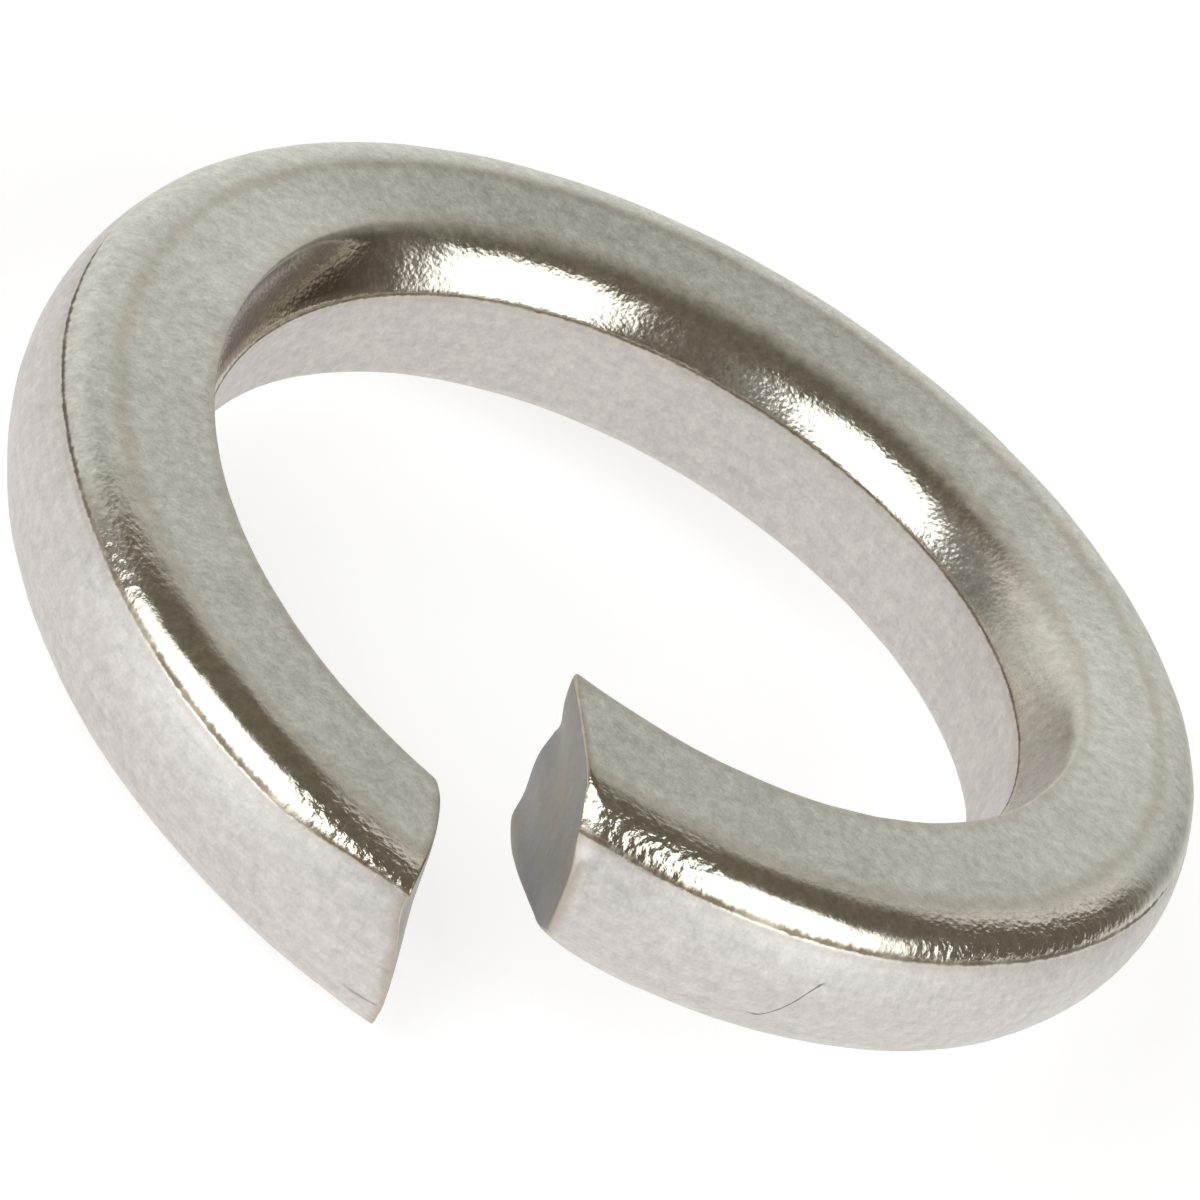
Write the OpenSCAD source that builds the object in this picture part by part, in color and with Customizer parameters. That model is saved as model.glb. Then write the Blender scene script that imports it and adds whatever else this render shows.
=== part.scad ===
// A single coil spring lock washer of nearly square wire, parted by slanting cuts.
// Sizes are in millimetres. The bolt axis is Z, the split faces -Y and the lowest edge lies at z = 0.
// Seen from above the coil climbs clockwise, from the low end left of the split to the high end right of it.

/* [Bolt hole] */
// Diameter of the bolt hole
bore_d = 16.5; // [15.5:0.1:18]

/* [Wire section] */
// Radial width of the wire, from the wall of the hole to the crown of the outer wall
section_w = 3.55; // [3.2:0.05:4.2]
// Thickness of the wire at the middle of its width
section_t = 3.6; // [3.4:0.05:4.2]
// How much thicker the wire is at the hole than at the rim, as it comes off the coiling mandrel
keystone = 0.53; // [0:0.01:0.8]
// How far the outer wall swells beyond its upper and lower edges
wall_crown = 0.27; // [0.05:0.01:0.4]

/* [Rounded corners] */
// Upper corner at the rim: reach across the face
rim_top_reach = 0.85; // [0.4:0.01:1]
// Upper corner at the rim: drop down the wall
rim_top_drop = 0.68; // [0.3:0.01:1]
// Lower corner at the rim: reach across the face
rim_low_reach = 0.98; // [0.4:0.01:1]
// Lower corner at the rim: rise up the wall
rim_low_rise = 0.86; // [0.3:0.01:1]
// Upper corner at the hole: reach across the face
hole_top_reach = 0.75; // [0.4:0.01:1]
// Upper corner at the hole: drop down the wall
hole_top_drop = 1.36; // [0.6:0.01:1.4]
// Lower corner at the hole: reach across the face
hole_low_reach = 0.5; // [0.4:0.01:1]
// Lower corner at the hole: rise up the wall
hole_low_rise = 0.38; // [0.3:0.01:1]
// Slope of each rounded corner where it ends in a crease on the wall, in degrees
corner_turn = 70; // [60:1:80]

/* [Opposite the split] */
// How far the upper face dips there beside the hole
far_dip = 0.36; // [0:0.01:0.4]
// Reach of the upper corner at the hole across the face there
far_top_reach = 1.05; // [0.7:0.01:1.2]

/* [Coil] */
// Climb of the coil over one full turn
coil_pitch = 3.49; // [3:0.01:4]

/* [Split] */
// Width of the split between its two cut faces, at the middle of the wire
split_w = 1.87; // [1.6:0.01:3]
// Skew in plan of the face cut on the low end, away from a line through the bolt axis, in degrees
low_skew = 6.5; // [2:0.1:15]
// Lean of the face cut on the low end, away from upright, in degrees
low_lean = 16.8; // [0:0.1:20]
// Skew in plan of the face cut on the high end, in degrees
high_skew = 21.7; // [10:0.1:25]
// Lean of the face cut on the high end, in degrees
high_lean = 10.8; // [0:0.1:20]

/* [Finish] */
// Colour of the bare steel
steel = [0.66, 0.65, 0.62];

/* [Hidden] */
$fn = 96;
// Steps along the coil, round a corner and across the outer wall
coil_steps = 132;
corner_steps = 6;
wall_steps = 6;
// Radii of the hole, of the middle of the wire, of the crown and of the edges of the outer wall
bore_r = bore_d / 2;
mid_r = bore_r + section_w / 2;
crown_r = bore_r + section_w;
edge_r = crown_r - wall_crown;
// Handles of a corner's curve: along the face as a share of the reach, up from the crease as a share of the drop
face_handle = 0.3;
crease_handle = 0.7;
// How far the swept wire stands into the hole and into the split, before the hole and the cuts trim it, and what
// share of their length the corners at the hole run on past their creases
trim = 0.12;
overrun = 0.35;
past_crease = 0.08;
// Rounds in which the angle where a line of the coil meets a cut is found
meet_rounds = 5;
// Size of what cuts the hole and the split, well past the wire each way
cut_tall = 4 * (section_t + coil_pitch);
cut_broad = 3 * section_w;

// Half the thickness of the wire at radius r
function half_t(r) = section_t / 2 + keystone * (mid_r - r) / (2 * (edge_r - bore_r));

// One rounded corner, a cubic curve from the face to the crease on the wall at radius r0. side is 1 at the rim and
// -1 at the hole, end is 1 on top and -1 below. The face dips by dip and falls by slope where the curve leaves it,
// and past is how far the curve runs on.
function corner(r0, side, end, reach, drop, past, dip = 0, slope = 0) =
    let (last = [reach, drop],
        from_face = face_handle * reach * [1, slope],
        to_crease = last - crease_handle * drop * [1 / tan(corner_turn), 1])
    [for (i = [0 : corner_steps])
        let (t = (1 + past) * i / corner_steps, u = 1 - t,
            q = 3 * u * u * t * from_face + 3 * u * t * t * to_crease + t * t * t * last)
        [r0 - side * (reach - q.x), end * (half_t(r0 - side * reach) - dip - q.y)]];

// The outer wall between its edges p and q, swollen by a flat parabola that peaks at wall_crown
function crowned(p, q) =
    [for (i = [1 : wall_steps - 1])
        let (u = i / wall_steps)
        [p.x + (q.x - p.x) * u + 4 * wall_crown * u * (1 - u), p.y + (q.y - p.y) * u]];

function reversed(v) = [for (i = [len(v) - 1 : -1 : 0]) v[i]];

// The wire section as [radius, height], up the wall of the hole, over the top and down the outer wall. reach is that
// of the upper corner at the hole, and the upper face dips by dip there.
function section(reach, dip) =
    let (face_w = edge_r - rim_top_reach - bore_r - reach,
        slope = (half_t(edge_r - rim_top_reach) - half_t(bore_r + reach) + dip) / face_w,
        hole_top = corner(bore_r, -1, 1, reach, hole_top_drop - dip, past_crease, dip, slope),
        rim_top = corner(edge_r, 1, 1, rim_top_reach, rim_top_drop, 0, 0, -slope),
        rim_low = corner(edge_r, 1, -1, rim_low_reach, rim_low_rise, 0),
        hole_low = corner(bore_r, -1, -1, hole_low_reach, hole_low_rise, past_crease))
    concat(
        [[bore_r - trim, hole_top[corner_steps].y - trim]],
        reversed(hole_top),
        rim_top,
        crowned(rim_top[corner_steps], rim_low[corner_steps]),
        reversed(rim_low),
        hole_low,
        [[bore_r - trim, hole_low[corner_steps].y + trim]]
    );

// The section at the split and opposite it
near = section(hole_top_reach, 0);
far = section(far_top_reach, far_dip);
sides = len(near);

// How much of the section opposite the split there is at step i along the coil, rising slowly from each end
function far_share(i) = pow(sin(180 * i / coil_steps), 4);

// Height of the coil at angle a, clockwise from the middle of the split
function climb(a) = coil_pitch * (a - 180) / 360;

// Angle at which the line of section point p meets a plane with the given skew and lean, off away from the middle
// of the split. It is found by repeated steps from angle a, and turn is 0 at the low end and 360 at the high end.
function meet(p, skew, lean, off, turn, a, left = meet_rounds) =
    left == 0 ? a :
    let (reach = mid_r * cos(lean) * sin(skew) + (p.y + climb(a)) * sin(lean) - off,
        b = asin(reach / (p.x * cos(lean))) - skew + turn)
    meet(p, skew, lean, off, turn, b, left - 1);

starts = [for (p = near) meet(p, low_skew, low_lean, overrun - split_w / 2, 0, 0)];
stops = [for (p = near) meet(p, high_skew, high_lean, split_w / 2 - overrun, 360, 360)];

// Depth of the lowest edge, at the low end of the coil, under the middle of the coil
depth = -min([for (p = near) p.y + climb(meet(p, low_skew, low_lean, -split_w / 2, 0, 0))]);

// The wire swept once round the bolt axis
module wire() {
    points = [for (i = [0 : coil_steps]) for (j = [0 : sides - 1])
        let (a = starts[j] + (stops[j] - starts[j]) * i / coil_steps, w = far_share(i),
            p = near[j] * (1 - w) + far[j] * w)
        [-p.x * sin(a), -p.x * cos(a), p.y + climb(a)]];
    walls = [for (i = [0 : coil_steps - 1]) for (j = [0 : sides - 1])
        let (k = (j + 1) % sides, b = i * sides, c = b + sides)
        each [[b + j, c + k, c + j], [b + j, b + k, c + k]]];
    last = coil_steps * sides;
    caps = [for (j = [1 : sides - 2]) each [[0, j + 1, j], [last, last + j, last + j + 1]]];
    polyhedron(points = points, faces = concat(walls, caps), convexity = 10);
}

// The true cylinder of the bolt hole
module hole() {
    cylinder(r = bore_r, h = cut_tall, center = true);
}

// A block with one face where an end of the wire is cut, reaching over the split from it. side is -1 at the low
// end and 1 at the high end.
module cut_from(side, skew, lean) {
    translate([0, -mid_r, 0])
        rotate([0, -lean, skew])
            translate([side * (split_w - section_w) / 2, 0, 0])
                cube([section_w, cut_broad, cut_tall], center = true);
}

// What the two cuts take out between them
module split() {
    intersection() {
        cut_from(-1, low_skew, low_lean);
        cut_from(1, high_skew, high_lean);
    }
}

module spring_washer() {
    color(steel)
        translate([0, 0, depth])
            difference() {
                wire();
                hole();
                split();
            }
}

spring_washer();
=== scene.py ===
"""A spring lock washer of nearly square wire, on a plain pale studio floor.

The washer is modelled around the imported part: one section, swept up a coil, closed with a cut face at each
end, trimmed to the two slanting cuts and dented as bare coiled wire is.
"""

import math

import bpy
import numpy as np
from bpy.props import FloatProperty, FloatVectorProperty, PointerProperty
from mathutils import Matrix, Vector


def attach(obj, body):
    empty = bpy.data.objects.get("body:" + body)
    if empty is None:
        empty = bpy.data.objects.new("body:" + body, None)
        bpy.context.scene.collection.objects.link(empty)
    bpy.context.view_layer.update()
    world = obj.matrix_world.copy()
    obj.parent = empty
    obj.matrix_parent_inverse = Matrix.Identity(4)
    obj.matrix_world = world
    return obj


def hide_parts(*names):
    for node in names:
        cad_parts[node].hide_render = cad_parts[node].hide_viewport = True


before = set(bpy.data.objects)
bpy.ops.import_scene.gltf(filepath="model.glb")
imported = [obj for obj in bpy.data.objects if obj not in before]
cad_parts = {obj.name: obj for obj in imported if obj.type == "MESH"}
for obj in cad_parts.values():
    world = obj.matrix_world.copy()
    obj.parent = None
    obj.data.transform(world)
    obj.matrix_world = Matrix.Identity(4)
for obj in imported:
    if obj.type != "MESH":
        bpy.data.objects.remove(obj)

bl_info = {
    "name": "Spring Lock Washer",
    "version": (1, 0, 0),
    "blender": (4, 5, 0),
    "location": "View3D > Sidebar > Washer",
    "description": "Models a spring lock washer and the studio it lies in",
    "category": "Object",
}

NODE = "spring_washer"
MM = 0.001

# Stretches of the section, in the order in which it is drawn, and the vertices on each
TOP_HOLE, TOP_FACE, TOP_RIM, RIM_WALL, LOW_RIM, LOW_FACE, LOW_HOLE, HOLE_WALL = range(8)
COUNTS = (26, 16, 22, 22, 14, 12, 8, 16)
SIDES = sum(COUNTS)
# Steps along the coil, and the vertices of the swept wire without its cut faces
STEPS = 660
SWEPT = (STEPS + 1) * SIDES
# Distances of the rings nearest to a cut from it, along a coil of about this length, in millimetres
END_RINGS = (0.0, 0.012, 0.030, 0.055, 0.09, 0.14, 0.20)
COIL_LONG = 62.0
# Scale of each ring of a cut face, from its edge to its middle
CAP_RINGS = (0.95, 0.90, 0.83, 0.75, 0.67, 0.58, 0.49, 0.40, 0.31, 0.22, 0.12)
# Rounds in which the angle where a line of the coil meets a cut is found
MEET_ROUNDS = 6
# Edges sharper than this are shaded hard
HARD_EDGE = math.radians(50)

# Angles from the split between which the upper corner at the rim grows shallower
RIM_FROM, RIM_WHOLE = math.radians(20), math.radians(62)
# Angle along the coil up to which that corner is shallower at the low end
LOW_END = math.radians(17)
# Angles along the coil between which the upper corner at the hole meets its crease less steeply
SIDE_FROM, SIDE_TO, SIDE_EASE = math.radians(50), math.radians(150), math.radians(30)
# Angles along the coil between which the upper face comes to rise beside the hole
LIFT_FROM, LIFT_WHOLE = math.radians(275), math.radians(350)

# Relief of the two cut faces, as bumps with a height in millimetres, a place on the section and a size
# each way
LOW_RELIEF = (
    (0.10, (0.5, 1.0), (0.3, 0.5)),
    (-0.42, (-0.05, 1.0), (0.16, 0.3)),
    (-0.12, (1.0, 0.65), (0.2, 0.25)),
    (-0.20, (1.0, -1.0), (0.4, 0.4)),
)
HIGH_RELIEF = (
    (0.17, (0.0, 1.0), (0.45, 0.5)),
    (0.10, (0.0, -0.2), (0.4, 0.5)),
    (0.12, (0.0, -0.85), (0.3, 0.25)),
    (-0.10, (0.0, 0.35), (0.3, 0.25)),
    (-0.25, (1.0, -1.0), (0.45, 0.5)),
)
# The same for the flat worn at the high end, the rounder edge beside the hole and the tuck, as shares
WORN_CORNER = ((1.6, (0.95, 0.72), (0.22, 0.30)),)
SOFT_CORNER = ((0.45, (0.0, 1.0), (0.2, 0.35)),)
TUCKED_CORNER = ((1.0, (0.85, -1.0), (0.45, 0.35)),)
# Slope of the worn flat
FLAT_SLOPE = 0.55
# Height and length along the coil of the tuck in the lower rim corner at the high end
TUCK, TUCK_LONG = 0.22 * MM, 0.45 * MM
# Size of the broad dents and of the pebbles, octaves of both, and the weight under which none are made
DENT_SIZE, PEBBLE_SIZE = 1.3 * MM, 0.24 * MM
DENT_OCTAVES = 2
LEAST_WEIGHT = 0.02

# Width over which the polish of a corner grows from the edge of the face, and how far it is on at that edge
POLISH_FADE, POLISH_START = 0.42 * MM, 0.08 * MM
# Stretches of the coil in degrees along it: start, how soon it is whole, end, and over how much it fades.
# Where the rim's corner is duller, and how much
DULL_RIM, RIM_DULLED = (38, 27, 300, 28), 0.85
# Where the corner at the hole is duller, on to the high end, and how much
DULL_HOLE, HOLE_DULLED = (222, 18, 720, 18), 0.45
# Where that corner lies in shade, and over what widths the shade starts at the face and at the crease
SHADED = (80, 15, 138, 24)
SHADE_FADE, SHADE_MARGIN = 0.25 * MM, 0.10 * MM
# Where the crease at the rim is softer, and by how many millimetres its line of painted shade is pushed off
SOFT_CREASE, CREASE_OFF = (85, 25, 285, 25), 0.12
# Where the rim is pebbled, with a share for each stretch. The first is the low end, the third the high end
PEBBLED = (
    (1.0, -360, 9, 22, 9),
    (1.0, 290, 8, 323, 8),
    (1.0, 340, 5, 720, 5),
    (0.8, 38, 8, 75, 12),
    (0.5, 262, 12, 305, 10),
)
# How far from the face the pebbles start, over what width they grow, and how far they run down the wall
PEBBLE_GAP, PEBBLE_FADE, PEBBLE_WALL = 0.22 * MM, 0.4 * MM, 0.15 * MM
# Share of the pebbles on the corner at the hole
HOLE_PEBBLED = 0.15

# Noise of the steel per metre: fine speckle, coarse speckle and clouding, and how the speckle is made up
FINE, COARSE, CLOUDED = 15000.0, 4200.0, 700.0
FINE_SHARE, COARSE_SHARE = 0.4, 0.6
# Streaks and pebbles per millimetre, along the wire and round it
STREAKED = (0.35, 7.0, 1.0)
PEBBLY = (7.5, 9.0, 1.0)
# How soft the rims of the pebbles are, and the noise that bends them: how many to a pebble, and its height
PEBBLE_SOFT = 0.35
PEBBLE_BENDS, PEBBLE_BENT = 1.4, 0.9
# How much the speckle changes the tone of the faces, the corners and the walls, and the tone without it
FACE_SPECKLE, CORNER_SPECKLE, WALL_SPECKLE = 1.25, 1.0, 0.75
BASE_TONE = 0.35
# How much clouding and streaks lighten the steel and a hairline darkens it
CLOUD_TONE, STREAK_TONE, HAIRLINE_TONE = 0.14, 0.2, -0.6
# How ragged the zones of the finish are, and the range of the polish over which matte turns into polished
RAGGED_ZONES = 0.35
POLISH_EDGE = (0.05, 0.95)
# Strongest tint of the painted shade beside creases and edges, of the brown at the ends, of the shade and of
# the shade line
SHADE_BROWN_TINT, END_TINT, SHADE_TINT, SHADE_LINE_TINT = 0.25, 0.5, 0.8, 0.85
# Widths in millimetres of the painted shade line in a crease, of the painted shade beside it, of the brown
# at the ends, and of a hairline
LINE_WIDTH, SHADE_BROWN_WIDTH = (0.01, 0.055), (0.0, 0.28)
END_WIDTH, HAIR_WIDTH = (0.0, 0.22), (0.015, 0.06)
# Noise per millimetre that makes the painted shade line ragged and patchy, and how far it moves the line and
# the painted shade beside it
LINE_RAGGED, LINE_MOVED = 7.0, 0.10
LINE_PATCHY, SHADE_BROWN_MOVED = 0.8, 0.3
# Where the patches make the line faint: range of the noise, and the strength of the line at its two ends
LINE_FAINT = (0.30, 0.55, 0.45, 1.0)
# The two hairlines: start and end along the wire, height round it at each, in millimetres, and strength
HAIRLINES = ((57.35, 58.3, 5.3, 6.8, 1.0), (0.1, 0.95, 6.85, 6.95, 0.5))
# Share of a hairline over which it curves, the millimetres over which its ends fade, and its raggedness
HAIR_CURVED = 0.7
HAIR_START, HAIR_END = 0.1, 0.4
HAIR_RAGGED, HAIR_MOVED = 5.0, 0.08
# How much the speckle and the line in a crease roughen the steel
SPECKLE_ROUGH, LINE_ROUGH = 0.2, 0.3
# Strength and depth in metres of the grit and of the dents in the materials
GRIT_STRENGTH, GRIT_DEPTH = 0.5, 0.00002
DENT_STRENGTH, DENT_DEPTH = 0.6, 0.00003
# Shares of the grit and the dents left on polished steel, and of the dents where nothing is pebbled
POLISHED_GRIT, POLISHED_DENTS = 0.55, 0.15
PLAIN_DENTS = 0.08
# The cut faces: scale of their grain, the clouding over which they turn browner, their tone without speckle,
# and how much the speckle changes their tone and roughness
CUT_GRAIN = 0.8
CUT_BROWN = (0.35, 0.65)
CUT_TONE, CUT_SPECKLE, CUT_SPECKLE_ROUGH = 0.75, 0.5, 0.15

# Width and height of each lamp, in metres
LAMP_W, LAMP_H = 0.42, 0.52
# Width of the camera's sensor in millimetres, and how near and far it sees in metres
SENSOR = 36.0
SEES_FROM, SEES_TO = 0.01, 10.0
# Where the tones of the room pass into one another: degrees from behind the washer to the right and to the
# left, and height as a share
AIR_RIGHT, AIR_LEFT = (12, 34), (-62, -92)
AIR_LOW, AIR_HIGH = (0.14, 0.02), (0.62, 0.86)
# Flecks of the floor per metre, how much darker they are, and the range of the noise over which they show
FLECKS, FLECK_TONE = 60.0, 0.985
FLECK_RANGE = (0.3, 0.7)


def length(name, description, millimetres):
    """A length that a user may change, kept in metres."""
    return FloatProperty(name=name, description=description, default=millimetres * MM, min=0.0,
                         unit="LENGTH", subtype="DISTANCE", precision=5)


def room_length(name, description, metres):
    """A length in the studio."""
    return FloatProperty(name=name, description=description, default=metres, min=0.0, unit="LENGTH",
                         subtype="DISTANCE")


def angle(name, description, degrees):
    """An angle that a user may change, kept in radians."""
    return FloatProperty(name=name, description=description, default=math.radians(degrees), unit="ROTATION",
                         subtype="ANGLE")


def share(name, description, default):
    """A number from 0 to 1."""
    return FloatProperty(name=name, description=description, default=default, min=0.0, max=1.0,
                         subtype="FACTOR")


def colour(name, description, default):
    """A linear colour."""
    return FloatVectorProperty(name=name, description=description, default=default, min=0.0, max=1.0,
                               size=3, subtype="COLOR")


class WasherSizes(bpy.types.PropertyGroup):
    """Sizes of the coiled wire and of its two cuts."""

    bore_r: length("Hole Radius", "Radius of the bolt hole", 8.25)
    section_w: length("Wire Width", "From the wall of the hole to the crown of the outer wall", 3.55)
    section_t: length("Wire Thickness", "Thickness of the wire at the middle of its width", 3.6)
    keystone: length("Keystone", "How much thicker the wire is at the hole than at the rim", 0.53)
    wall_crown: length("Wall Crown", "How far the outer wall swells between its edges", 0.27)
    rim_top_reach: length("Upper Rim Reach", "Upper corner at the rim, across the face", 0.98)
    rim_top_drop: length("Upper Rim Drop", "Upper corner at the rim, down the wall, near the split", 0.64)
    far_rim_drop: length("Far Rim Drop", "The same far from the split", 0.42)
    low_end_drop: length("Low End Rim Drop", "The same at the low end", 0.27)
    rim_low_reach: length("Lower Rim Reach", "Lower corner at the rim, across the face", 0.98)
    rim_low_rise: length("Lower Rim Rise", "Lower corner at the rim, up the wall", 0.86)
    hole_top_reach: length("Upper Hole Reach", "Upper corner at the hole, across the face", 0.48)
    high_top_reach: length("High End Reach", "The same at the high end", 0.43)
    hole_top_drop: length("Upper Hole Drop", "Upper corner at the hole, down the wall", 1.5)
    high_lift: length("High End Lift", "Rise of the upper face beside the hole at the high end", 0.07)
    hole_low_reach: length("Lower Hole Reach", "Lower corner at the hole, across the face", 0.5)
    hole_low_rise: length("Lower Hole Rise", "Lower corner at the hole, up the wall", 0.38)
    corner_turn: angle("Corner Turn", "Slope of a corner where it ends in a crease on the wall", 66.0)
    side_turn: angle("Side Turn", "Slope of the upper corner at the hole, left of the hole", 50.0)
    face_handle: share("Face Handle", "Handle of a corner's curve along the face, of its reach", 0.3)
    crease_handle: share("Crease Handle", "Handle of a corner's curve at the crease, of its drop", 0.7)
    rim_handle: share("Rim Crease Handle", "The same for the upper corner at the rim", 0.86)
    far_dip: length("Far Dip", "Dip of the upper face beside the hole, opposite the split", 0.36)
    far_top_reach: length("Far Hole Reach", "Reach of the upper corner at the hole there", 1.05)
    far_top_drop: length("Far Hole Drop", "Drop of the upper corner at the hole there", 1.0)
    far_from: angle("Far From", "Angle from the split at which the form opposite it begins", 80.0)
    far_whole: angle("Far Whole", "Angle from the split from which it is whole", 140.0)
    coil_pitch: length("Coil Pitch", "Climb of the coil over one full turn", 3.49)
    depth: length("Depth", "Depth of the lowest edge under the middle of the coil", 3.64673)
    split_w: length("Split Width", "Width of the split at the middle of the wire", 1.87)
    low_skew: angle("Low Cut Skew", "Skew in plan of the cut on the low end", 6.5)
    low_lean: angle("Low Cut Lean", "Lean of the cut on the low end", 16.8)
    high_skew: angle("High Cut Skew", "Skew in plan of the cut on the high end", 21.7)
    high_lean: angle("High Cut Lean", "Lean of the cut on the high end", 10.8)
    cut_edge: length("Cut Edge", "Radius of the edges round the cut faces", 0.04)
    worn_edge: length("Worn Edge", "How much rounder the most worn of these edges is", 0.30)
    dents: length("Dents", "Depth of the broad unevenness of the wire", 0.03)
    pebbles: length("Pebbles", "Depth of the small dents along the rim", 0.004)


class WasherFinish(bpy.types.PropertyGroup):
    """Colours and roughness of the bare steel, and the colours of the painted shade on it."""

    face_colour: colour("Face Colour", "Matte steel of the upper and lower faces", (0.685, 0.688, 0.63))
    wall_colour: colour("Wall Colour", "Matte steel of both walls", (0.705, 0.668, 0.643))
    corner_colour: colour("Corner Colour", "Polished steel of the upper corners", (0.60, 0.565, 0.49))
    cut_colour: colour("Cut Colour", "Sheared steel of the two ends", (0.39, 0.38, 0.395))
    cut_warm: colour("Warm Cut Colour", "Sheared steel where it is browner", (0.39, 0.365, 0.33))
    # Painted shade: the dark line in the creases, also used for the painted shade on the corner at the hole
    crease_shade_colour: colour("Crease Colour", "Dark line in the creases", (0.13, 0.09, 0.06))
    # Brown of the painted shade beside the creases and the edges of the upper face, also put darker towards
    # each cut
    shade_brown_colour: colour("Grime Colour", "Brown tone beside creases and corners", (0.38, 0.31, 0.21))
    face_rough: share("Face Roughness", "Roughness of the upper and lower faces", 0.5)
    wall_rough: share("Wall Roughness", "Roughness of both walls", 0.55)
    corner_rough: share("Corner Roughness", "Roughness of the upper corners", 0.17)
    cut_rough: share("Cut Roughness", "Roughness of the cut faces between their speckles", 0.43)


class StudioSettings(bpy.types.PropertyGroup):
    """Camera, lamps, floor and room."""

    azimuth: angle("Azimuth", "Where the camera stands round the washer", -4.5)
    elevation: angle("Elevation", "How high the camera stands", 31.4004)
    roll: angle("Roll", "How far the camera is rolled", 34.8522)
    distance: length("Distance", "From the middle of the coil to the camera", 168.007)
    aim_left: length("Aim Left", "How far left of the middle of the coil the camera aims", 0.12025)
    aim_up: length("Aim Up", "How far above it", 0.04762)
    lens: FloatProperty(name="Lens", description="Focal length in millimetres", default=270.0)
    floor_size: room_length("Floor Size", "Side of the floor", 3.0)
    floor_colour: colour("Floor Colour", "Pale floor", (0.60, 0.60, 0.60))
    floor_rough: share("Floor Roughness", "Roughness of the floor's paint", 0.9)
    floor_shine: share("Floor Shine", "Strength of the floor's reflections", 0.1)
    floor_glow: share("Floor Glow", "Light that the floor adds to the picture and to reflections", 0.62)
    lamp_power: FloatProperty(name="Lamp Power", description="Power of each large soft lamp", default=1.35,
                              min=0.0, unit="POWER")
    lamp_colour: colour("Lamp Colour", "Light of each lamp, a little cool", (0.93, 0.97, 1.0))
    lamp_away: room_length("Lamp Distance", "From the washer to each lamp", 0.5)
    lamp_rise: angle("Lamp Elevation", "How high both lamps hang", 30.0)
    left_lamp: angle("Left Lamp", "Where the left lamp hangs, from the camera's side", -42.0)
    right_lamp: angle("Right Lamp", "Where the right lamp hangs, from the camera's side", 61.0)
    air_behind: colour("Room Behind", "Tone of the room behind the washer", (0.96, 0.95, 0.92))
    air_left: colour("Room Left", "Tone of the room on the left and in front", (0.32, 0.31, 0.29))
    air_right: colour("Room Right", "Tone of the room on the right", (0.20, 0.18, 0.145))
    air_high: colour("Room Above", "Tone of the room overhead", (0.21, 0.19, 0.15))
    air_low: colour("Room Low", "Tone of the room near the floor", (0.70, 0.69, 0.66))


def select_alone(piece):
    """Selects one object and makes it the active one."""
    bpy.ops.object.select_all(action="DESELECT")
    piece.select_set(True)
    bpy.context.view_layer.objects.active = piece


def edit_vertices(piece, chosen):
    """Enters edit mode with only the vertices selected that the boolean array names."""
    select_alone(piece)
    bpy.ops.object.mode_set(mode="EDIT")
    bpy.ops.mesh.select_all(action="DESELECT")
    bpy.ops.object.mode_set(mode="OBJECT")
    piece.data.vertices.foreach_set("select", chosen)
    bpy.ops.object.mode_set(mode="EDIT")
    bpy.ops.mesh.select_mode(type="VERT")


def put_points(piece, points):
    """Moves the vertices of a mesh."""
    piece.data.vertices.foreach_set("co", np.ascontiguousarray(points, np.float32).ravel())
    piece.data.update()


# The section


def mid_r(s):
    """Radius of the middle of the wire."""
    return s.bore_r + s.section_w / 2


def edge_r(s):
    """Radius of the edges of the outer wall."""
    return s.bore_r + s.section_w - s.wall_crown


def half_thickness(s, r):
    """Half the thickness of the wire at radius r."""
    return s.section_t / 2 + s.keystone * (mid_r(s) - r) / (2 * (edge_r(s) - s.bore_r))


def corner(s, wall_r, side, end, reach, drop, count, dip=0.0, slope=0.0, turn=None, handle=None):
    """A rounded corner, a cubic curve from a face to the crease on the wall. side is 1 at the rim and -1 at
    the hole, end is 1 above and -1 below. The face dips by dip and falls by slope where the curve leaves
    it, and turn and handle are the slope and the handle at the crease."""
    t = np.linspace(0, 1, count)[:, None]
    last = np.array([reach, drop])
    from_face = s.face_handle * reach * np.array([1, slope])
    steep = np.array([1 / math.tan(turn or s.corner_turn), 1])
    to_crease = last - (handle or s.crease_handle) * drop * steep
    curve = 3 * (1 - t) ** 2 * t * from_face + 3 * (1 - t) * t ** 2 * to_crease + t ** 3 * last
    top = half_thickness(s, wall_r - side * reach) - dip
    return np.c_[wall_r - side * (reach - curve[:, 0]), end * (top - curve[:, 1])]


def between(p, q, count, swell=0.0):
    """Points strictly between p and q, swollen outwards in radius by a flat parabola."""
    u = np.linspace(0, 1, count + 2)[1:-1, None]
    line = p + (q - p) * u
    line[:, 0] += 4 * swell * (u * (1 - u))[:, 0]
    return line


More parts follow.
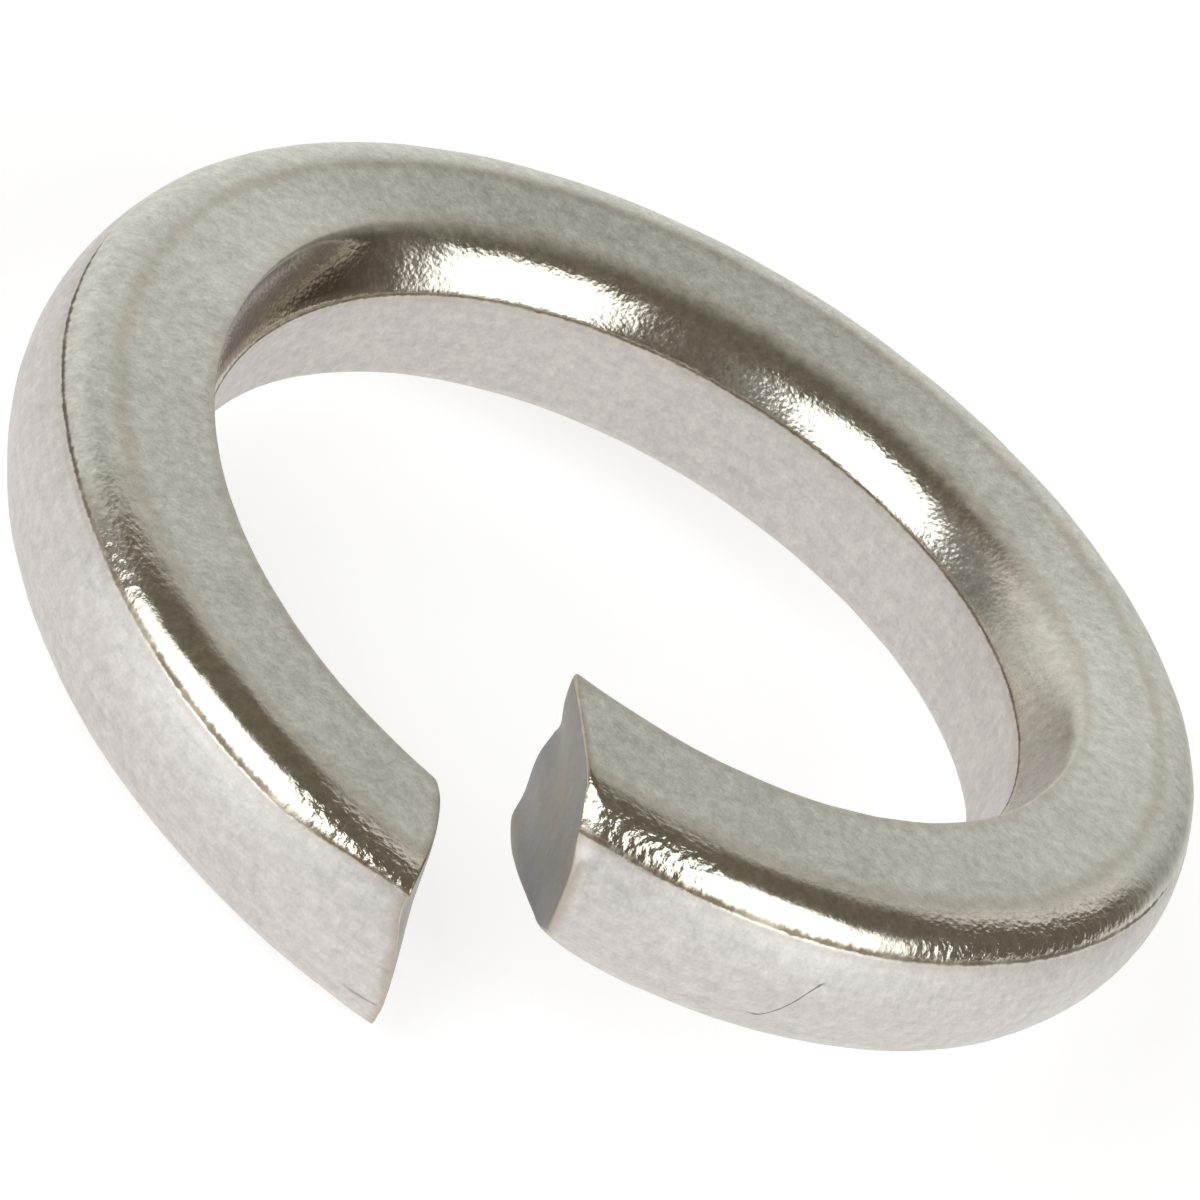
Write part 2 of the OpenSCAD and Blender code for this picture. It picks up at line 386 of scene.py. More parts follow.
def section(s, reach, drop, dip, rim_drop, turn):
    """The section as rows of (radius, height), from the crease above the hole over the top and round, in
    the order of COUNTS. reach and drop are those of the upper corner at the hole, beside which the upper
    face dips by dip, turn is its slope at the crease, and rim_drop is the drop of the upper corner at the
    rim."""
    edge = edge_r(s)
    rim_start, hole_start = edge - s.rim_top_reach, s.bore_r + reach
    rise = half_thickness(s, rim_start) - half_thickness(s, hole_start) + dip
    slope = rise / (rim_start - hole_start)
    top_hole = corner(s, s.bore_r, -1, 1, reach, drop, COUNTS[TOP_HOLE], dip, slope, turn)[::-1]
    top_rim = corner(s, edge, 1, 1, s.rim_top_reach, rim_drop, COUNTS[TOP_RIM], 0.0, -slope, None,
                     s.rim_handle)
    low_rim = corner(s, edge, 1, -1, s.rim_low_reach, s.rim_low_rise, COUNTS[LOW_RIM])[::-1]
    low_hole = corner(s, s.bore_r, -1, -1, s.hole_low_reach, s.hole_low_rise, COUNTS[LOW_HOLE])
    return np.vstack([
        top_hole,
        between(top_hole[-1], top_rim[0], COUNTS[TOP_FACE]),
        top_rim,
        between(top_rim[-1], low_rim[0], COUNTS[RIM_WALL], s.wall_crown),
        low_rim,
        between(low_rim[-1], low_hole[0], COUNTS[LOW_FACE]),
        low_hole,
        between(low_hole[-1], top_hole[0], COUNTS[HOLE_WALL]),
    ])


def smooth(x):
    """0 below 0, 1 above 1, and a smooth way between."""
    x = np.clip(x, 0, 1)
    return x * x * (3 - 2 * x)


def form_at(s, a):
    """The values of section() at angle a, clockwise from the middle of the split."""
    away = min(a, 2 * math.pi - a)
    far = smooth((away - s.far_from) / (s.far_whole - s.far_from))
    rim = smooth((away - RIM_FROM) / (RIM_WHOLE - RIM_FROM))
    lift = smooth((a - LIFT_FROM) / (LIFT_WHOLE - LIFT_FROM))
    low_end = smooth((LOW_END - a) / LOW_END)
    side = smooth((SIDE_TO - a) / SIDE_EASE) * smooth((a - SIDE_FROM) / SIDE_EASE)
    near_reach = s.hole_top_reach + (s.high_top_reach - s.hole_top_reach) * lift
    reach = near_reach + (s.far_top_reach - near_reach) * far
    drop = s.hole_top_drop + (s.far_top_drop - s.hole_top_drop) * far
    dip = s.far_dip * far - s.high_lift * lift
    rim_drop = s.rim_top_drop + (s.far_rim_drop - s.rim_top_drop) * rim
    rim_drop += (s.low_end_drop - s.rim_top_drop) * low_end
    turn = s.corner_turn + (s.side_turn - s.corner_turn) * side
    return reach, drop, dip, rim_drop, turn


def climb(s, a):
    """Height of the coil at angle a, clockwise from the middle of the split."""
    return s.coil_pitch * (a - math.pi) / (2 * math.pi)


def meet(s, r, h, skew, lean, off, turn):
    """Angle at which the line of a section point meets a cut that stands off from the split's middle."""
    a = np.full(np.shape(r), float(turn))
    for _ in range(MEET_ROUNDS):
        reach = mid_r(s) * math.cos(lean) * math.sin(skew) + (h + climb(s, a)) * math.sin(lean) - off
        a = np.arcsin(reach / (r * math.cos(lean))) - skew + turn
    return a


def ring_places():
    """Place of each ring along the coil, from 0 to 1, closer together near the two cuts."""
    near = np.array(END_RINGS) / COIL_LONG
    inner = np.linspace(near[-1], 1 - near[-1], STEPS + 1 - 2 * (len(near) - 1))
    return np.concatenate([near[:-1], inner, 1 - near[-2::-1]])


# The washer


def swept_wire(s):
    """The section of the low end swept up the coil with a Screw modifier, as an open tube."""
    outline = section(s, *form_at(s, 0.0))
    bpy.ops.object.select_all(action="DESELECT")
    bpy.ops.mesh.primitive_circle_add(vertices=SIDES, radius=s.section_w / 2, fill_type="NOTHING",
                                      location=(0, 0, 0))
    piece = bpy.context.active_object
    piece.name = piece.data.name = "lock_washer"
    put_points(piece, np.c_[np.zeros(SIDES), -outline[:, 0], outline[:, 1] + climb(s, 0.0)])
    screw = piece.modifiers.new("coil", "SCREW")
    screw.axis = "Z"
    screw.angle = -2 * math.pi
    screw.screw_offset = s.coil_pitch
    screw.steps = screw.render_steps = STEPS
    screw.use_normal_calculate = True
    bpy.ops.object.modifier_apply(modifier=screw.name)
    if len(piece.data.vertices) != SWEPT:
        raise RuntimeError("the swept wire hasn't the number of vertices that its section and steps give")
    return piece


def close_end(piece, first, pivot):
    """Fills one end of the tube with shrinking rings, by extruding and scaling its edge."""
    chosen = np.zeros(len(piece.data.vertices), bool)
    chosen[first:first + SIDES] = True
    edit_vertices(piece, chosen)
    last = 1.0
    for scale in CAP_RINGS:
        bpy.ops.mesh.extrude_region_move()
        k = scale / last
        bpy.ops.transform.resize(value=(k, k, k), center_override=pivot)
        last = scale
    bpy.ops.mesh.extrude_region_move()
    bpy.ops.mesh.merge(type="CENTER")
    bpy.ops.object.mode_set(mode="OBJECT")


def bumps(s, r, h, shapes):
    """The sum of round bumps over the section, where a place runs from 0 at the hole to 1 at the rim and
    from -1 at the lower face to 1 at the upper."""
    u, v = (r - s.bore_r) / s.section_w, h / (s.section_t / 2)
    return sum(height * np.exp(-((u - at[0]) / size[0]) ** 2 - ((v - at[1]) / size[1]) ** 2)
               for height, at, size in shapes)


def worn_corner(s, r, h):
    """1 at the upper rim corner, where the high end's edge is worn to a small flat, and 0 away from it."""
    return smooth(bumps(s, r, h, WORN_CORNER))


def edge_radius(s, r, h, end):
    """Radius of the edge round a cut face, where end is 0 for the low end and 1 for the high end."""
    worn = bumps(s, r, h, SOFT_CORNER)
    if end:
        worn = worn + worn_corner(s, r, h)
    return s.cut_edge + s.worn_edge * worn


def rounded_ends(s, places, r, h):
    """Pulls the wire in beside each cut to round its edge, and pushes the lower rim corner of the high end
    up, as the shears did."""
    coil = 2 * math.pi * mid_r(s)
    for end in (0, 1):
        gap = (np.abs(places - end) * coil)[:, None]
        radius = edge_radius(s, r, h, end)
        ease = np.clip(radius - gap, 0, None)
        pull = radius - np.sqrt(radius ** 2 - ease ** 2)
        if end:
            pull += (FLAT_SLOPE * ease - pull) * worn_corner(s, r, h)
        away = np.hypot(r - mid_r(s), h)
        r, h = r - (r - mid_r(s)) / away * pull, h - h / away * pull
    gap = (1 - places)[:, None] * coil
    return r, h + TUCK * bumps(s, r, h, TUCKED_CORNER) * np.exp(-gap / TUCK_LONG)


def with_cut_faces(s, places, r, h):
    """Radius, height and place along the coil of all vertices: the wire's, then those of each cut face."""
    rings = [(r.ravel(), h.ravel(), np.repeat(places, SIDES))]
    for end in (0, STEPS):
        for scale in CAP_RINGS:
            ring_r = mid_r(s) + scale * (r[end] - mid_r(s))
            rings.append((ring_r, scale * h[end], np.full(SIDES, places[end])))
        rings.append(([mid_r(s)], [0.0], [places[end]]))
    return (np.concatenate(values) for values in zip(*rings))


def angles_between_cuts(s, r, h, places):
    """Angle of each vertex along the coil, between its line's meetings with the two torn cut faces."""
    low_proud, high_proud = bumps(s, r, h, LOW_RELIEF) * MM, bumps(s, r, h, HIGH_RELIEF) * MM
    start = meet(s, r, h, s.low_skew, s.low_lean, low_proud - s.split_w / 2, 0.0)
    stop = meet(s, r, h, s.high_skew, s.high_lean, s.split_w / 2 - high_proud, 2 * math.pi)
    return start + (stop - start) * places


class OBJECT_OT_spring_washer(bpy.types.Operator):
    """Model the washer: sweep its wire up the coil, cut both ends and dent it."""

    bl_idname = "object.spring_washer"
    bl_label = "Spring Washer"
    bl_options = {"REGISTER", "UNDO"}

    def execute(self, context):
        s = context.scene.washer_sizes
        piece = swept_wire(s)
        for first, a in ((0, 0.0), (STEPS * SIDES, 2 * math.pi)):
            close_end(piece, first, Vector((0, -mid_r(s), climb(s, a))))

        places = ring_places()
        outlines = np.array([section(s, *form_at(s, 2 * math.pi * place)) for place in places])
        r, h = rounded_ends(s, places, outlines[:, :, 0], outlines[:, :, 1])
        r, h, t = with_cut_faces(s, places, r, h)
        if len(r) != len(piece.data.vertices):
            raise RuntimeError("a cut face hasn't the number of vertices that its rings give")
        turn = angles_between_cuts(s, r, h, t)
        put_points(piece, np.c_[-r * np.sin(turn), -r * np.cos(turn), h + climb(s, turn) + s.depth])

        select_alone(piece)
        bpy.ops.object.mode_set(mode="EDIT")
        bpy.ops.mesh.select_all(action="SELECT")
        bpy.ops.mesh.normals_make_consistent(inside=False)
        bpy.ops.object.mode_set(mode="OBJECT")
        bpy.ops.object.shade_smooth_by_angle(angle=HARD_EDGE)

        walk = walk_round(outlines[0])
        write_surface_maps(piece, s, walk, turn)
        unroll(piece, s, walk, turn)
        uneven(piece, s)
        dress(piece, context.scene.washer_finish)
        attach(piece, "root")
        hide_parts(NODE)
        return {"FINISHED"}


def walk_round(outline):
    """How far round the section each row lies from the first, and last the whole way round."""
    step = np.linalg.norm(np.roll(outline, -1, axis=0) - outline, axis=1)
    return np.concatenate([[0], np.cumsum(step)])


def stretch(degrees, start, rise, end, fall):
    """1 along a stretch of the coil, 0 away from it and a smooth way between."""
    return smooth((degrees - start) / rise) * smooth((end - degrees) / fall)


def write_surface_maps(piece, s, walk, turn):
    """Marks each vertex of the wire with what it lies on, and with its distances from the creases, from the
    edges of the upper face and from the cuts, in millimetres."""
    part = np.repeat(np.arange(len(COUNTS)), COUNTS)
    here, whole = walk[:-1], walk[-1]
    hole_edge, rim_edge = here[part == TOP_HOLE][-1], here[part == TOP_RIM][0]
    rim_crease = here[part == TOP_RIM][-1]
    gaps = [np.abs(here - crease) for crease in (0.0, rim_crease)]
    crease_gap = np.min([np.minimum(gap, whole - gap) for gap in gaps], axis=0)
    edge_gap = np.minimum(np.abs(here - hole_edge), np.abs(here - rim_edge))
    from_rim_edge = np.where(part == TOP_RIM, here - rim_edge, 0.0)
    from_face = np.where(part == TOP_HOLE, hole_edge - here, from_rim_edge)
    places = ring_places()[:, None]
    end_gap = np.minimum(places, 1 - places) * 2 * math.pi * mid_r(s)
    degrees = np.degrees(turn[:SWEPT]).reshape(-1, SIDES)

    on_corner = np.isin(part, (TOP_HOLE, TOP_RIM))
    polish = np.where(on_corner, smooth((from_face + POLISH_START) / POLISH_FADE), 0.0)
    polish = polish * (1 - np.where(part == TOP_RIM, RIM_DULLED * stretch(degrees, *DULL_RIM), 0.0))
    polish = polish * (1 - np.where(part == TOP_HOLE, HOLE_DULLED * stretch(degrees, *DULL_HOLE), 0.0))
    shade = smooth(from_face / SHADE_FADE) * smooth((crease_gap - SHADE_MARGIN) / SHADE_MARGIN)
    shade = np.where(part == TOP_HOLE, shade, 0.0) * stretch(degrees, *SHADED)
    round_the_rim = (part >= TOP_FACE) & (part <= LOW_RIM)
    crease_off = CREASE_OFF * stretch(degrees, *SOFT_CREASE) * round_the_rim
    rim = np.where(part == TOP_RIM, smooth((from_face - PEBBLE_GAP) / PEBBLE_FADE), 0.0)
    rim += np.where(part == RIM_WALL, smooth(1 - (here - rim_crease) / PEBBLE_WALL), 0.0)
    zones = sum(much * stretch(degrees, *where) for much, *where in PEBBLED)
    pebbled = rim * np.clip(zones, 0, 1) + np.where(part == TOP_HOLE, HOLE_PEBBLED, 0.0)
    values_of = {
        "polish": polish,
        "walls": np.where(part >= RIM_WALL, 1.0, 0.0),
        "crease_gap": crease_gap / MM + crease_off,
        "edge_gap": edge_gap / MM,
        "end_gap": end_gap / MM,
        "shade": shade,
        "pebbled": pebbled,
    }
    for name, values in values_of.items():
        data = np.zeros(len(piece.data.vertices), np.float32)
        data[:SWEPT] = np.broadcast_to(values, (STEPS + 1, SIDES)).ravel()
        piece.data.attributes.new(name, "FLOAT", "POINT").data.foreach_set("value", data)


def unroll(piece, s, walk, turn):
    """Unrolls the wire into a UV map in millimetres, and gives the cut faces the second material."""
    mesh = piece.data
    corner_vertex = np.empty(len(mesh.loops), np.int32)
    starts, sizes = np.empty(len(mesh.polygons), np.int32), np.empty(len(mesh.polygons), np.int32)
    mesh.loops.foreach_get("vertex_index", corner_vertex)
    mesh.polygons.foreach_get("loop_start", starts)
    mesh.polygons.foreach_get("loop_total", sizes)
    face_of = np.repeat(np.arange(len(starts)), sizes)
    column = np.where(corner_vertex < SWEPT, corner_vertex % SIDES, 0)
    on_cut = np.zeros(len(starts), bool)
    np.logical_or.at(on_cut, face_of, corner_vertex >= SWEPT)
    last_column = np.zeros(len(starts), bool)
    np.logical_or.at(last_column, face_of, column == SIDES - 1)
    v = np.where((column == 0) & last_column[face_of], walk[-1], walk[column])
    u = turn[corner_vertex] * mid_r(s)
    uv = mesh.uv_layers.new(name="unrolled")
    uv.data.foreach_set("uv", np.c_[u, v].astype(np.float32).ravel() / MM)
    mesh.polygons.foreach_set("material_index", on_cut.astype(np.int32))
    mesh.update()


def uneven(piece, s):
    """Dents the wire with two Displace modifiers, broadly all over and finely where it is pebbled."""
    group = piece.vertex_groups.new(name="pebbled")
    weights = np.empty(len(piece.data.vertices), np.float32)
    piece.data.attributes["pebbled"].data.foreach_get("value", weights)
    for index in np.flatnonzero(weights > LEAST_WEIGHT):
        group.add([int(index)], float(weights[index]), "REPLACE")
    select_alone(piece)
    for name, size, depth, where in (("dents", DENT_SIZE, s.dents, ""),
                                     ("pebbles", PEBBLE_SIZE, s.pebbles, group.name)):
        clouds = bpy.data.textures.new(name, "CLOUDS")
        clouds.noise_scale = size
        clouds.noise_depth = DENT_OCTAVES
        modifier = piece.modifiers.new(name, "DISPLACE")
        modifier.texture = clouds
        modifier.texture_coords = "LOCAL"
        modifier.strength = depth
        modifier.vertex_group = where
        bpy.ops.object.modifier_apply(modifier=name)


# Finishes


class Nodes:
    """Places and links nodes in one tree."""

    def __init__(self, tree):
        self.tree = tree

    def add(self, kind, **settings):
        node = self.tree.nodes.new(kind)
        for key, value in settings.items():
            setattr(node, key, value)
        return node

    def feed(self, socket, value):
        """Links an input to the output given, or sets it to the constant given."""
        if isinstance(value, bpy.types.NodeSocket):
            self.tree.links.new(value, socket)
        else:
            socket.default_value = value

    def put(self, node, **values):
        """Feeds the inputs of a node by name, with underscores for spaces."""
        for key, value in values.items():
            self.feed(node.inputs[key.replace("_", " ")], value)
        return node

    def math(self, operation, a, b=None, clamp=False):
        node = self.add("ShaderNodeMath", operation=operation, use_clamp=clamp)
        self.feed(node.inputs[0], a)
        if b is not None:
            self.feed(node.inputs[1], b)
        return node.outputs[0]

    def plus(self, a, b, clamp=False):
        return self.math("ADD", a, b, clamp)

    def minus(self, a, b):
        return self.math("SUBTRACT", a, b)

    def times(self, a, b):
        return self.math("MULTIPLY", a, b)

    def around(self, noise, much):
        """Noise made to run both ways from 0."""
        return self.times(self.minus(noise, 0.5), much)

    def mix(self, factor, a, b):
        """Mixes two colours."""
        node = self.add("ShaderNodeMix", data_type="RGBA")
        for index, value in ((0, factor), (6, a), (7, b)):
            self.feed(node.inputs[index], value)
        return node.outputs[2]

    def lerp(self, factor, a, b):
        """Mixes two numbers."""
        node = self.add("ShaderNodeMix", data_type="FLOAT")
        for index, value in ((0, factor), (2, a), (3, b)):
            self.feed(node.inputs[index], value)
        return node.outputs[0]

    def span(self, value, low, high, to_low=0.0, to_high=1.0):
        """Maps a range of a number onto another, clamped."""
        node = self.add("ShaderNodeMapRange", interpolation_type="SMOOTHSTEP")
        self.put(node, Value=value, From_Min=low, From_Max=high, To_Min=to_low, To_Max=to_high)
        return node.outputs[0]

    def noise(self, vector, scale, detail=2.0, roughness=0.5):
        node = self.add("ShaderNodeTexNoise")
        self.put(node, Vector=vector, Scale=scale, Detail=detail, Roughness=roughness)
        return node.outputs[0]

    def stretched(self, vector, scale):
        """A vector scaled by its own amount each way."""
        node = self.add("ShaderNodeMapping", vector_type="POINT")
        return self.put(node, Vector=vector, Scale=scale).outputs[0]

    def toned(self, paint, scale):
        """A colour made lighter or darker."""
        node = self.add("ShaderNodeVectorMath", operation="SCALE")
        self.feed(node.inputs[0], paint)
        self.put(node, Scale=scale)
        return node.outputs[0]

    def bump(self, height, strength, distance, normal=None):
        """A normal bent by a height, on top of another if one is given."""
        node = self.put(self.add("ShaderNodeBump"), Strength=strength, Distance=distance, Height=height)
        if normal is not None:
            self.put(node, Normal=normal)
        return node.outputs[0]

    def attribute(self, name):
        return self.add("ShaderNodeAttribute", attribute_name=name).outputs["Fac"]

    def unrolled(self):
        return self.add("ShaderNodeUVMap", uv_map="unrolled").outputs[0]

    def place(self):
        return self.add("ShaderNodeTexCoord").outputs["Object"]

    def group(self, group, **values):
        """A group placed with its own values."""
        return self.put(self.add("ShaderNodeGroup", node_tree=group), **values)


def new_group(name, inputs, outputs):
    """A shader node group with the vector Unrolled, numbers with the defaults given and named outputs. Also
    its nodes, what its inputs give inside and the node that its outputs take from."""
    group = bpy.data.node_groups.new(name, "ShaderNodeTree")
    group.interface.new_socket("Unrolled", in_out="INPUT", socket_type="NodeSocketVector")
    for label, default in inputs.items():
        socket = group.interface.new_socket(label, in_out="INPUT", socket_type="NodeSocketFloat")
        socket.default_value = default
    for label in outputs:
        group.interface.new_socket(label, in_out="OUTPUT", socket_type="NodeSocketFloat")
    n = Nodes(group)
    return group, n, n.add("NodeGroupInput").outputs, n.add("NodeGroupOutput")


def steel_grain():
    """Fine speckle and broad clouding of bare steel, and faint streaks along the wire."""
    group, n, given, out = new_group("steel_grain", {"Scale": 1.0}, ("Speckle", "Clouding", "Streaks"))
    place, scale = n.place(), given["Scale"]
    fine = n.noise(place, n.times(scale, FINE), detail=2.0, roughness=0.6)
    coarse = n.noise(place, n.times(scale, COARSE), detail=3.0, roughness=0.6)
    clouds = n.noise(place, n.times(scale, CLOUDED), detail=4.0, roughness=0.55)
    streaks = n.noise(n.stretched(given["Unrolled"], STREAKED), 1.0, detail=4.0, roughness=0.6)
    speckle = n.plus(n.times(coarse, COARSE_SHARE), n.times(fine, FINE_SHARE))
    n.put(out, Speckle=speckle, Clouding=clouds, Streaks=streaks)
    return group


def pebble_dents():
    """Height of small round dents, a little longer along the wire than across."""
    group, n, given, out = new_group("pebble_dents", {}, ("Height",))
    shaped = n.stretched(given["Unrolled"], PEBBLY)
    bent = n.noise(shaped, PEBBLE_BENDS, detail=2.0, roughness=0.5)
    cells = n.add("ShaderNodeTexVoronoi", feature="SMOOTH_F1")
    n.put(cells, Vector=shaped, Scale=1.0, Smoothness=PEBBLE_SOFT, Randomness=1.0)
    n.put(out, Height=n.plus(cells.outputs["Distance"], n.times(bent, PEBBLE_BENT)))
    return group


def painted_shade_line():
    """A thin uneven line of painted shade where the distance from a crease is near 0 millimetres, and
    painted shade beside it.
    """
    group, n, given, out = new_group("painted_shade_line", {"Gap": 1.0}, ("Line", "Grime"))
    ragged = n.noise(given["Unrolled"], LINE_RAGGED, detail=3.0, roughness=0.6)
    patchy = n.noise(given["Unrolled"], LINE_PATCHY, detail=3.0, roughness=0.6)
    gap = n.plus(given["Gap"], n.around(ragged, LINE_MOVED))
    line = n.times(n.span(gap, *LINE_WIDTH, 1.0, 0.0), n.span(patchy, *LINE_FAINT))
    shade_brown = n.span(n.plus(gap, n.around(patchy, SHADE_BROWN_MOVED)), *SHADE_BROWN_WIDTH, 1.0, 0.0)
    n.put(out, Line=line, Grime=shade_brown)
    return group


def hair_scratch():
    """One thin curved scratch on the outer wall, right of the split, and a short one by the low end."""
    group, n, given, out = new_group("hair_scratch", {}, ("Line",))
    split = n.put(n.add("ShaderNodeSeparateXYZ"), Vector=given["Unrolled"])
    along, round_it = split.outputs["X"], split.outputs["Y"]
    ragged = n.around(n.noise(given["Unrolled"], HAIR_RAGGED), HAIR_MOVED)
    lines = []
    for start, end, first, last, strength in HAIRLINES:
        path = n.span(along, start, start + HAIR_CURVED * (end - start), first, last)
        off = n.math("ABSOLUTE", n.plus(n.minus(round_it, path), ragged))
        within = n.times(n.span(along, start, start + HAIR_START), n.span(along, end, end - HAIR_END))
        lines.append(n.times(n.times(n.span(off, *HAIR_WIDTH, 1.0, 0.0), within), strength))
    n.put(out, Line=n.plus(*lines, clamp=True))
    return group


def rgba(value):
    return (*value, 1.0)


def new_material(name, metallic):
    """A material, the nodes of its tree and its Principled shader."""
    material = bpy.data.materials.new(name)
    material.use_nodes = True
    n = Nodes(material.node_tree)
    shader = next(node for node in n.tree.nodes if node.type == "BSDF_PRINCIPLED")
    n.put(shader, Metallic=metallic)
    return material, n, shader


def wire_steel(finish, grain):
    """Drawn wire: matte faces and walls, polished corners, a dark line of painted shade in each crease and
    painted shade beside it.
    """
    material, n, shader = new_material("wire_steel", 1.0)
    uv = n.unrolled()
    grained = n.group(grain, Unrolled=uv, Scale=1.0)
    speckle, clouding, streaks = (grained.outputs[name] for name in ("Speckle", "Clouding", "Streaks"))
    creases = painted_shade_line()
    creased = n.group(creases, Unrolled=uv, Gap=n.attribute("crease_gap"))
    edged = n.group(creases, Unrolled=uv, Gap=n.attribute("edge_gap"))
    hairline = n.group(hair_scratch(), Unrolled=uv).outputs["Line"]
    walls = n.attribute("walls")
    ragged = n.around(clouding, RAGGED_ZONES)
    polish = n.span(n.plus(n.attribute("polish"), ragged), *POLISH_EDGE)

    matte = n.mix(walls, rgba(finish.face_colour), rgba(finish.wall_colour))
    steel = n.mix(polish, matte, rgba(finish.corner_colour))
    speckled = n.lerp(walls, n.lerp(polish, FACE_SPECKLE, CORNER_SPECKLE), WALL_SPECKLE)
    light = n.plus(n.times(speckle, speckled), n.times(clouding, CLOUD_TONE))
    light = n.plus(light, n.times(n.times(streaks, walls), STREAK_TONE))
    light = n.plus(n.plus(light, BASE_TONE), n.times(hairline, HAIRLINE_TONE))
    # The brown of the painted shade, and the dark colour of the painted shade in the creases
    shade_brown, line = rgba(finish.shade_brown_colour), rgba(finish.crease_shade_colour)
    at_end = n.span(n.plus(n.attribute("end_gap"), ragged), *END_WIDTH, END_TINT, 0.0)
    # Painted shade along the edges of the upper face
    paint = n.mix(n.times(edged.outputs["Grime"], SHADE_BROWN_TINT), n.toned(steel, light), shade_brown)
    # The same brown, darker towards each cut
    paint = n.mix(at_end, paint, shade_brown)
    # Painted shade on the corner at the hole, left of the hole, in the dark colour of the crease line
    paint = n.mix(n.times(n.attribute("shade"), SHADE_TINT), paint, line)
    # Painted shade beside the creases
    paint = n.mix(n.times(creased.outputs["Grime"], SHADE_BROWN_TINT), paint, shade_brown)
    # The dark line of painted shade in the creases
    paint = n.mix(n.times(creased.outputs["Line"], SHADE_LINE_TINT), paint, line)

    rough = n.lerp(polish, n.lerp(walls, finish.face_rough, finish.wall_rough), finish.corner_rough)
    rough = n.plus(rough, n.around(speckle, SPECKLE_ROUGH))
    rough = n.plus(rough, n.times(creased.outputs["Line"], LINE_ROUGH), clamp=True)
    gritty = n.times(speckle, n.lerp(polish, 1.0, POLISHED_GRIT))
    grit = n.bump(gritty, GRIT_STRENGTH, GRIT_DEPTH)
    pebbles = n.group(pebble_dents(), Unrolled=uv).outputs["Height"]
    depth = n.times(n.lerp(n.attribute("pebbled"), PLAIN_DENTS, 1.0), n.lerp(polish, POLISHED_DENTS, 1.0))
    dents = n.bump(n.times(pebbles, depth), DENT_STRENGTH, DENT_DEPTH, grit)
    n.put(shader, Base_Color=paint, Roughness=rough, Normal=dents)
    return material


def cut_steel(finish, grain):
    """Sheared steel of the two ends."""
    material, n, shader = new_material("cut_steel", 1.0)
    grained = n.group(grain, Unrolled=n.unrolled(), Scale=CUT_GRAIN)
    speckle, clouding = grained.outputs["Speckle"], grained.outputs["Clouding"]
    base = n.mix(n.span(clouding, *CUT_BROWN), rgba(finish.cut_colour), rgba(finish.cut_warm))
    paint = n.toned(base, n.plus(n.times(speckle, CUT_SPECKLE), CUT_TONE))
    rough = n.plus(n.times(speckle, CUT_SPECKLE_ROUGH), finish.cut_rough)
    torn = n.bump(n.plus(speckle, clouding), DENT_STRENGTH, DENT_DEPTH)
    n.put(shader, Base_Color=paint, Roughness=rough, Normal=torn)
    return material


def dress(piece, finish):
    """Gives the washer its two finishes."""
    grain = steel_grain()
    piece.data.materials.append(wire_steel(finish, grain))
    piece.data.materials.append(cut_steel(finish, grain))


# The studio


def towards(azimuth, elevation):
    """Direction from the washer to something that stands at these angles."""
    level = math.cos(elevation)
    return Vector((math.sin(azimuth) * level, -math.cos(azimuth) * level, math.sin(elevation)))


def camera_axes(studio):
    """Right, up and back of the camera, in the frame of the washer."""
    az, roll = studio.azimuth, studio.roll
    right = Vector((math.cos(az), math.sin(az), 0))
    back = towards(az, studio.elevation)
    up = back.cross(right)
    rolled_right = math.cos(roll) * right + math.sin(roll) * up
    rolled_up = math.cos(roll) * up - math.sin(roll) * right
    return rolled_right, rolled_up, back


def soft_lamp(studio, name, azimuth):
    """A large oval soft lamp that faces the washer, its azimuth measured from the camera's side."""
    data = bpy.data.lights.new(name, "AREA")
    data.shape = "ELLIPSE"
    data.size, data.size_y = LAMP_W, LAMP_H
    data.energy = studio.lamp_power
    data.color = studio.lamp_colour
    lamp = bpy.data.objects.new(name, data)
    bpy.context.scene.collection.objects.link(lamp)
    back = towards(studio.azimuth + azimuth, studio.lamp_rise)
    lamp.location = back * studio.lamp_away
    lamp.rotation_euler = back.to_track_quat("Z", "Y").to_euler()


def set_camera(studio, middle):
    """The camera at the photo's viewing angle, aimed beside the middle of the coil."""
    data = bpy.data.cameras.new("camera")
    data.lens = studio.lens
    data.sensor_width = SENSOR
    data.clip_start, data.clip_end = SEES_FROM, SEES_TO
    camera = bpy.data.objects.new("camera", data)
    bpy.context.scene.collection.objects.link(camera)
    right, up, back = camera_axes(studio)
    place = middle - studio.aim_left * right + studio.aim_up * up + back * studio.distance
    turn = Matrix((right, up, back)).transposed()
    camera.matrix_world = Matrix.Translation(place) @ turn.to_4x4()
    bpy.context.scene.camera = camera


class SCENE_OT_washer_studio(bpy.types.Operator):
    """Lay the floor, hang the lamps and set up the camera."""

    bl_idname = "scene.washer_studio"
    bl_label = "Studio"
    bl_options = {"REGISTER", "UNDO"}

    def execute(self, context):
        studio = context.scene.washer_studio
        bpy.ops.object.select_all(action="DESELECT")
        bpy.ops.mesh.primitive_plane_add(size=studio.floor_size, location=(0, 0, 0))
        floor = context.active_object
        floor.name = floor.data.name = "floor"
        floor.data.materials.append(floor_paint(studio))
        soft_lamp(studio, "lamp_left", studio.left_lamp)
        soft_lamp(studio, "lamp_right", studio.right_lamp)
        studio_air(studio)
        set_camera(studio, Vector((0, 0, context.scene.washer_sizes.depth)))
        context.scene.view_settings.view_transform = "Standard"
        return {"FINISHED"}


